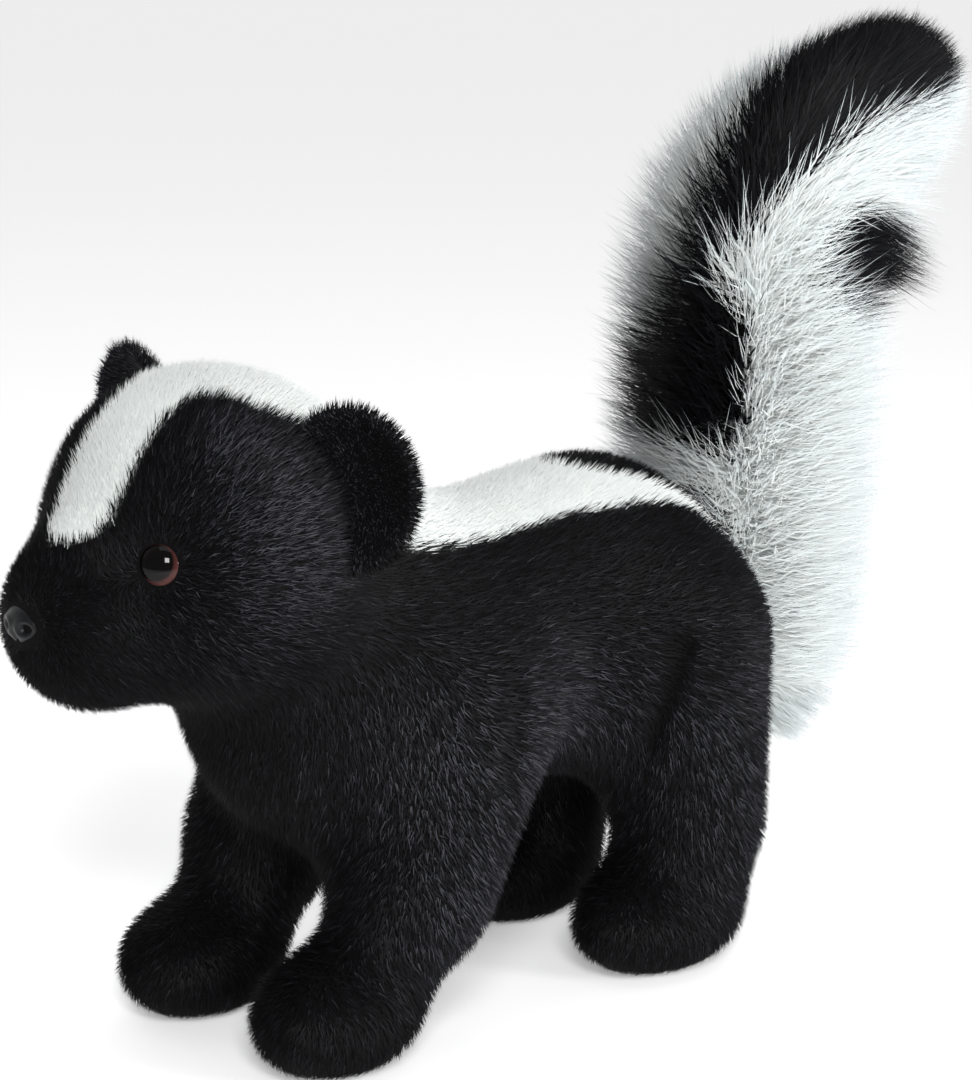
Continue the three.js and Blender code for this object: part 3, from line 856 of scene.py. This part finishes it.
def tip_shapes(rng):
    """Hairs fanned out over the domed end of the tail's core, in the same order."""
    spread = np.sqrt(rng.random(TIP_HAIRS))
    angle = rng.random(TIP_HAIRS) * 2 * np.pi
    t = CORE_TO - 0.004 - TIP_SPREAD * spread**2
    root = tail_point(t, angle, ROOT_REACH * spread)
    middle, tangent, _, _, _ = tail_at(t)
    outward = unit(tail_point(t, angle, 1.0) - middle)
    lie = unit(tangent + rng.normal(0, 0.12, (TIP_HAIRS, 3)))
    outward = unit(outward - lie * (outward * lie).sum(1, keepdims=True))
    length = (10 + 2 * spread) * rng.uniform(0.7, 1.1, TIP_HAIRS)
    rise = 0.15 + 0.75 * spread + rng.normal(0, 0.1, TIP_HAIRS)
    white = tail_white(np.full(TIP_HAIRS, TIP_SEEN_AT), angle + rng.normal(0, 0.1, TIP_HAIRS))
    shade = rng.beta(2.4, 2.4, TIP_HAIRS) * np.where(white < 0.5, BLACK_TONE, 1)
    return root, lie, outward, length, rise, rise - 0.1, white, shade, t, np.full(TIP_HAIRS, -0.6)


def long_coat():
    """The tail's long hair, rooted on its core and swept up and outwards."""
    rng = np.random.default_rng(SEED + 1)
    tree = BVHTree.FromPolygons([Vector(v) for v in skin_co], skin_corners.tolist())
    for coat in TAIL_COATS:
        part, count = coat["part"], coat["count"]
        shapes = lock_shapes(rng, count, coat["length"])
        width = coat["width"] * rng.uniform(0.7, 1.25, count)
        if part == "hair":
            shapes = [np.concatenate(pair) for pair in zip(shapes, tip_shapes(rng))]
            width = np.concatenate([width, np.full(TIP_HAIRS, coat["width"])])
        root, lie, outward, length, rise, droop, white, shade, t, lean = shapes
        spots = np.array([uv_at(tree, v) for v in framed(root)])
        pieces = max(1, math.ceil(len(root) * 10 / PIECE_LIMIT))
        order = np.argsort(t, kind="stable")
        for k, pick in enumerate(np.array_split(order, pieces)):
            made = pile_piece(f"tail_{part}_{k + 1}", LONG_PILE, framed(root[pick]), lie[pick],
                              outward[pick], length[pick], width[pick], rise[pick], droop[pick], spots[pick],
                              white[pick], shade[pick], rng.normal(0, STRAY_BEND, len(pick)), 2, lean[pick])
            if k == 0 and part == "locks":
                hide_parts("tail")


def uv_at(tree, place):
    """The skin's map coordinates at its nearest place."""
    spot, _, face, _ = tree.find_nearest(Vector(place))
    a, b, c = skin_co[skin_corners[face]]
    spot = np.array(spot)
    whole = np.linalg.norm(np.cross(b - a, c - a)) + 1e-15
    one = np.linalg.norm(np.cross(c - b, spot - b)) / whole
    two = np.linalg.norm(np.cross(a - c, spot - c)) / whole
    shares = np.array([one, two, max(0.0, 1 - one - two)])
    return (skin_map[skin_loops[face]] * shares[:, None]).sum(0)


# The ears are stuffed bowls that run into the head
EAR_VOXEL = 1.0
EAR_DENSITY, EAR_TUFT = 3.0, 0.28
HEAD_MIDDLE = np.array([0, -69, 139.0])
EAR = {
    "at": {"left": (43.3, -60.6, 150.2), "right": (-43, -62.5, 156)},
    "turn": {"left": 204, "right": 172},
    "radius": 18,
    "across": 1.0,
    "upright": 1.1,
    "cup": 7,
    "thickness": 4.6,
}


def ear_bowl(steps=12, sides=48):
    """A thick round bowl with a rounded rim about +Y, which it hollows."""
    shares = np.linspace(0, 1, steps + 1)
    middle = EAR["cup"] * (shares**2 - 1)
    half = EAR["thickness"] / 2 * np.sqrt(1 - shares**6)
    radius = np.concatenate([shares, shares[-2::-1]]) * EAR["radius"]
    high = np.concatenate([middle - half, (middle + half)[-2::-1]])
    turns = np.linspace(0, 2 * np.pi, sides, endpoint=False)
    points = [(0, high[0], 0)]
    for r, y in zip(radius[1:-1], high[1:-1]):
        points += [(r * math.cos(a), y, r * math.sin(a)) for a in turns]
    points.append((0, high[-1], 0))
    rows = len(radius) - 2
    faces = []
    for k in range(sides):
        n = (k + 1) % sides
        faces.append([0, 1 + k, 1 + n])
        faces += [[1 + r * sides + k, 1 + (r + 1) * sides + k, 1 + (r + 1) * sides + n, 1 + r * sides + n]
                  for r in range(rows - 1)]
        faces.append([1 + (rows - 1) * sides + n, 1 + (rows - 1) * sides + k, len(points) - 1])
    return np.array(points), faces


def ear_piece(side):
    """A cupped ear, with shorter and flatter pile in its hollow than on its back and rim."""
    node = "ear_" + side
    turn = math.radians(EAR["turn"][side])
    points, faces = ear_bowl()
    across, forwards = points[:, 0] * EAR["across"], points[:, 1]
    points = np.stack([across * math.cos(turn) - forwards * math.sin(turn),
                       across * math.sin(turn) + forwards * math.cos(turn), points[:, 2] * EAR["upright"]], 1)
    source = mesh_object("ear_source", framed(points + EAR["at"][side]), faces)
    ear = remeshed(source, "ear_skin_" + side, EAR_VOXEL, 4)
    co, corners, loops = mesh_arrays(ear.data)
    normal = vertex_normals(co, corners)
    ear.data.shade_smooth()
    uv = skin_uv(ear)
    tuft_attribute(ear.data, "white", np.zeros(len(co)))
    ear.data.materials.append(BACKING)
    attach(ear, "root")
    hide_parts(node)
    rng = np.random.default_rng(SEED + (2 if side == "left" else 3))
    root, normal, place = scattered(
        rng, co, corners, loops, uv, EAR_DENSITY / MM**2, np.ones(len(corners)))
    count = len(root)
    p = datum(root)
    middle = datum(co).mean(0)
    hollow = np.array([-math.sin(turn), math.cos(turn), 0])
    inside = step(0.1, 0.5, normal @ hollow)
    outwards = unit(p - middle + 4 * unit(middle - HEAD_MIDDLE))
    lie = unit(outwards - normal * (outwards * normal).sum(1, keepdims=True))
    length = (2.9 - 1.2 * inside) * rng.uniform(0.75, 1.2, count)
    rise = 0.95 - 0.25 * inside + rng.normal(0, 0.2, count)
    width = EAR_TUFT * rng.uniform(0.7, 1.3, count)
    shade = np.clip(rng.beta(2.4, 3.2, count) + 0.2 * inside, 0, 1)
    pile_piece("ear_pile_" + side, SHORT_PILE, root, lie, normal, length, width, rise, rise,
               place, np.zeros(count), shade, rng.normal(0, STRAY_BEND, count), 1)


EYE_RADIUS, EYE_BULGE = 5.9, 4.0
EYE_SUNK = 3.2
EYE_SETBACK = 1.0
EYE_ROUND_THE_EDGE = 0.5
# The pupil sits a little off the middle, forwards and up
PUPIL_SHIFT = 0.7
PUPIL_WAY = np.array([0, -0.8, 0.6])


def eye_piece(side):
    """A glossy dome with a black pupil and a reddish brown rim."""
    middle, look = EYES[side]
    middle = middle + (0, EYE_SETBACK, 0)
    around, down = 56, 18
    wide = unit(np.cross(look, (0, 0, 1)))
    tall = np.cross(wide, look)
    aside = unit(PUPIL_WAY - look * (PUPIL_WAY @ look)) * PUPIL_SHIFT
    points, rims, faces = [], [], []
    for r in range(down + 1):
        polar = (math.pi / 2 + EYE_ROUND_THE_EDGE) * r / down
        for k in range(around):
            turn = 2 * math.pi * k / around
            out, high = math.sin(polar) * EYE_RADIUS, math.cos(polar) * EYE_BULGE
            flat = (wide * math.cos(turn) + tall * math.sin(turn)) * out
            points.append(middle + look * (high - EYE_SUNK) + flat)
            from_pupil = min(1.0, float(np.linalg.norm(flat - aside)) / EYE_RADIUS)
            rims.append(1.0 if polar > math.pi / 2 else from_pupil)
    for r in range(down):
        for k in range(around):
            n = (k + 1) % around
            faces.append([r * around + k, (r + 1) * around + k, (r + 1) * around + n, r * around + n])
    faces.append([down * around + k for k in range(around)][::-1])
    made = mesh_object("eye_dome_" + side, framed(points), faces)
    tuft_attribute(made.data, "rim", rims)
    weld(made)
    made.data.materials.append(EYE_PLASTIC)
    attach(made, "root")
    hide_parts("eye_" + side)


def weld(piece):
    """Joins a piece's like points and turns its faces outwards."""
    shape = bmesh.new()
    shape.from_mesh(piece.data)
    bmesh.ops.remove_doubles(shape, verts=shape.verts, dist=1e-7)
    bmesh.ops.recalc_face_normals(shape, faces=shape.faces)
    shape.to_mesh(piece.data)
    shape.free()


NOSE_RADII = (8, 5.0, 5.6)
NOSTRIL_WAY = np.array([0.52, -0.86, -0.05])
NOSE_BEHIND, NOSE_BELOW = 7.2, 0.8


def nose_piece():
    """A satin button nose with two nostrils and a shallow groove under them."""
    points, faces = ball((0, 0, 0), (1, 1, 1), 72, 48)
    p = points * NOSE_RADII
    p[:, 2] -= 0.9 * step(0.2, 1, np.abs(points[:, 0])) * points[:, 2]
    p[:, 0] *= 1 - 0.22 * step(0, -1, points[:, 2])
    for side in (-1, 1):
        away = np.linalg.norm(points - unit(NOSTRIL_WAY * (side, 1, 1)), axis=1)
        p += -points * (2.1 * np.exp(-((away / 0.2) ** 2)))[:, None]
        p += points * (0.35 * np.exp(-(((away - 0.36) / 0.12) ** 2)))[:, None]
    groove = np.exp(-((points[:, 0] / 0.09) ** 2)) * step(0.1, -0.5, points[:, 2])
    p -= points * (0.6 * groove)[:, None]
    low, high = (datum(np.array(c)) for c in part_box("nose"))
    middle = np.array([0, low[1] + NOSE_BEHIND, (low[2] + high[2]) / 2 - NOSE_BELOW])
    made = mesh_object("nose_button", framed(p + middle), faces)
    made.data.materials.append(NOSE_PLASTIC)
    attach(made, "root")
    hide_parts("nose")


EYE_PLASTIC = eye_material()
NOSE_PLASTIC = nose_material()
short_coat()
long_coat()
for ear_side in ("left", "right"):
    ear_piece(ear_side)
    eye_piece(ear_side)
nose_piece()


# The floor, the light and the camera


FLOOR_GLOW = 0.33
FLOOR_REACH = 40.0


def stage_floor():
    """A wide pale floor that glows a little, as a lit table does."""
    corners = [(x * FLOOR_REACH, y * FLOOR_REACH, 0) for x, y in ((-1, -1), (1, -1), (1, 1), (-1, 1))]
    floor = mesh_object("floor", corners, [(0, 1, 2, 3)])
    material, nodes, links, bsdf = shader("pale_floor")
    stops = [(0.3, (0.94, 0.94, 0.94)), (0.7, (0.95, 0.95, 0.95))]
    links.new(ramp(nodes, links, noise(nodes, links, 60), stops), bsdf.inputs["Base Color"])
    bsdf.inputs["Roughness"].default_value = 0.9
    bsdf.inputs["Emission Color"].default_value = (1, 1, 1, 1)
    bsdf.inputs["Emission Strength"].default_value = FLOOR_GLOW
    floor.data.materials.append(material)


def area_light(name, place, aim, size, power):
    data = bpy.data.lights.new(name, "AREA")
    data.size = size
    data.energy = power
    light = bpy.data.objects.new(name, data)
    light.location = place
    light.rotation_euler = (Vector(aim) - Vector(place)).to_track_quat("-Z", "Y").to_euler()
    bpy.context.scene.collection.objects.link(light)


# The photo is taken from the toy's front left, a little above it
CAMERA_AZIMUTH, CAMERA_ELEVATION = math.radians(48), math.radians(12)
CAMERA_DISTANCE = 0.8
CAMERA_TARGET = (-7.6, 28.8, 117.2)
CAMERA_LENS, CAMERA_SENSOR = 98.8, 36
# The way the camera looks, along the floor
BACKDROP_WAY = (-math.sin(CAMERA_AZIMUTH), math.cos(CAMERA_AZIMUTH), 0)
ROOM_LIGHT = 0.25
LIGHTS = [
    {"name": "key", "at": (1.25, 0.45, 0.42), "size": 0.4, "power": 9},
    {"name": "front", "at": (0.95, -0.75, 0.85), "size": 0.35, "power": 13},
    {"name": "top", "at": (0.1, -0.1, 1.6), "size": 1.0, "power": 3},
]
LIGHTS_AIM = (0, 0, 0.12)


def studio():
    """White walls, bright behind the toy and dimmer behind the camera, and three soft lights."""
    world = bpy.data.worlds.new("studio")
    world.use_nodes = True
    nodes, links = world.node_tree.nodes, world.node_tree.links
    towards = nodes.new("ShaderNodeVectorMath")
    towards.operation = "DOT_PRODUCT"
    towards.inputs[1].default_value = BACKDROP_WAY
    links.new(nodes.new("ShaderNodeTexCoord").outputs["Generated"], towards.inputs[0])
    level = nodes.new("ShaderNodeMapRange")
    level.interpolation_type = "SMOOTHSTEP"
    for name, value in (("From Min", -0.3), ("From Max", 0.75), ("To Min", ROOM_LIGHT), ("To Max", 1.0)):
        level.inputs[name].default_value = value
    links.new(towards.outputs["Value"], level.inputs["Value"])
    links.new(level.outputs["Result"], nodes["Background"].inputs["Strength"])
    nodes["Background"].inputs["Color"].default_value = (1, 1, 1, 1)
    bpy.context.scene.world = world
    for light in LIGHTS:
        area_light(light["name"], light["at"], LIGHTS_AIM, light["size"], light["power"])


def photo_camera():
    """The camera at the photo's viewing angle."""
    target = Vector(framed(CAMERA_TARGET))
    level = math.cos(CAMERA_ELEVATION)
    back = Vector((math.sin(CAMERA_AZIMUTH) * level, -math.cos(CAMERA_AZIMUTH) * level,
                   math.sin(CAMERA_ELEVATION)))
    data = bpy.data.cameras.new("camera")
    data.sensor_width = CAMERA_SENSOR
    data.lens = CAMERA_LENS
    data.clip_start, data.clip_end = 0.01, 50
    camera = bpy.data.objects.new("camera", data)
    camera.location = target + back * CAMERA_DISTANCE
    camera.rotation_euler = (-back).to_track_quat("-Z", "Y").to_euler()
    bpy.context.scene.collection.objects.link(camera)
    bpy.context.scene.camera = camera


stage_floor()
studio()
photo_camera()
bpy.context.scene.view_settings.view_transform = "Standard"
